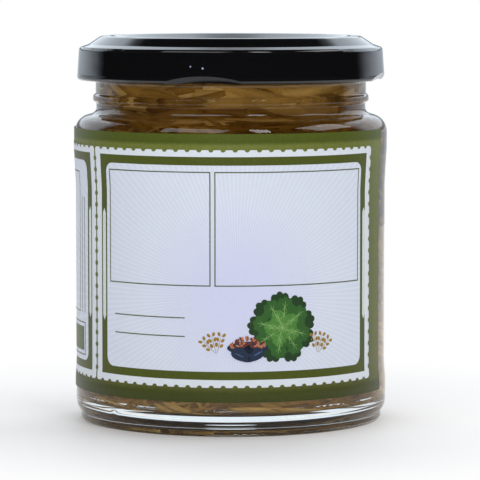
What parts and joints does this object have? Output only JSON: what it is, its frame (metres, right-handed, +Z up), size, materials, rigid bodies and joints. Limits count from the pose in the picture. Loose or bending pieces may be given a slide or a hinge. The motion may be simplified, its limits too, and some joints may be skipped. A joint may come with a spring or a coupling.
{
  "type": "sauerkraut jar",
  "caption": "Shut round glass jar of shredded sauerkraut in brine, with a twist-off metal lid and a printed paper label wrapped round it.",
  "frame": {"origin": "middle of the jar's underside, on the plane that it stands on", "axes": "+Z up along the jar's axis; the middle of the label's widest panel faces -Y, and the bare strip between the label's ends faces +X"},
  "size_m": [0.0752, 0.0754, 0.092],
  "materials": {
    "glass": "clear, polished",
    "lid": "gloss lacquer",
    "label": "satin, printed",
    "sauerkraut": "wet"
  },
  "bodies": {
    "root": {"jar": "glass", "lid": "lid", "label": "label", "sauerkraut": "sauerkraut"}
  },
  "joints": []
}
